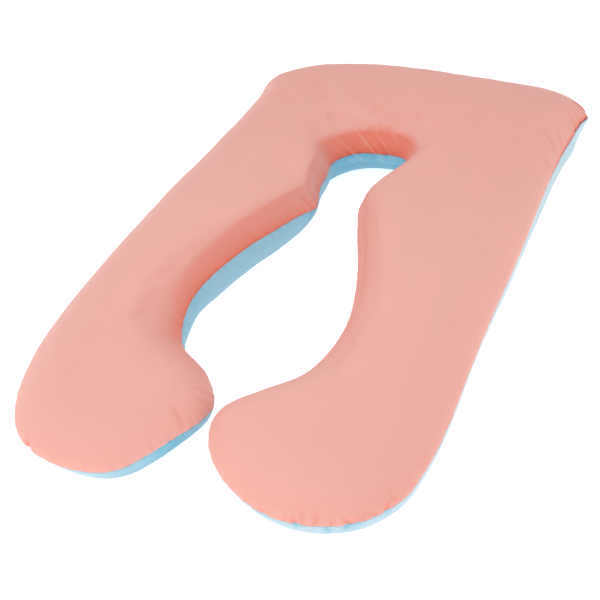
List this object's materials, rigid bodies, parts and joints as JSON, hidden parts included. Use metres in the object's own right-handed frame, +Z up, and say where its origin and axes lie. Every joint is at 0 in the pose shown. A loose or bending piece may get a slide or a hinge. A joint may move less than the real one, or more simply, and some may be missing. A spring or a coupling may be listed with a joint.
{
  "type": "pregnancy pillow",
  "caption": "U-shaped stuffed pregnancy pillow with a head bolster, a small neck arch and long legs that curve in to lobed feet.",
  "frame": {"origin": "under the middle of the pillow's box, on the surface it lies on", "axes": "+Y along the legs towards the head bolster, +X to the right leg seen from above, +Z up"},
  "size_m": [0.8046, 1.3009, 0.1681],
  "materials": {
    "coral_cloth": "soft brushed plain weave, coral pink",
    "blue_cloth": "soft brushed plain weave, light blue"
  },
  "bodies": {
    "root": {"top_panel": "coral_cloth", "bottom_panel": "blue_cloth"}
  },
  "joints": []
}
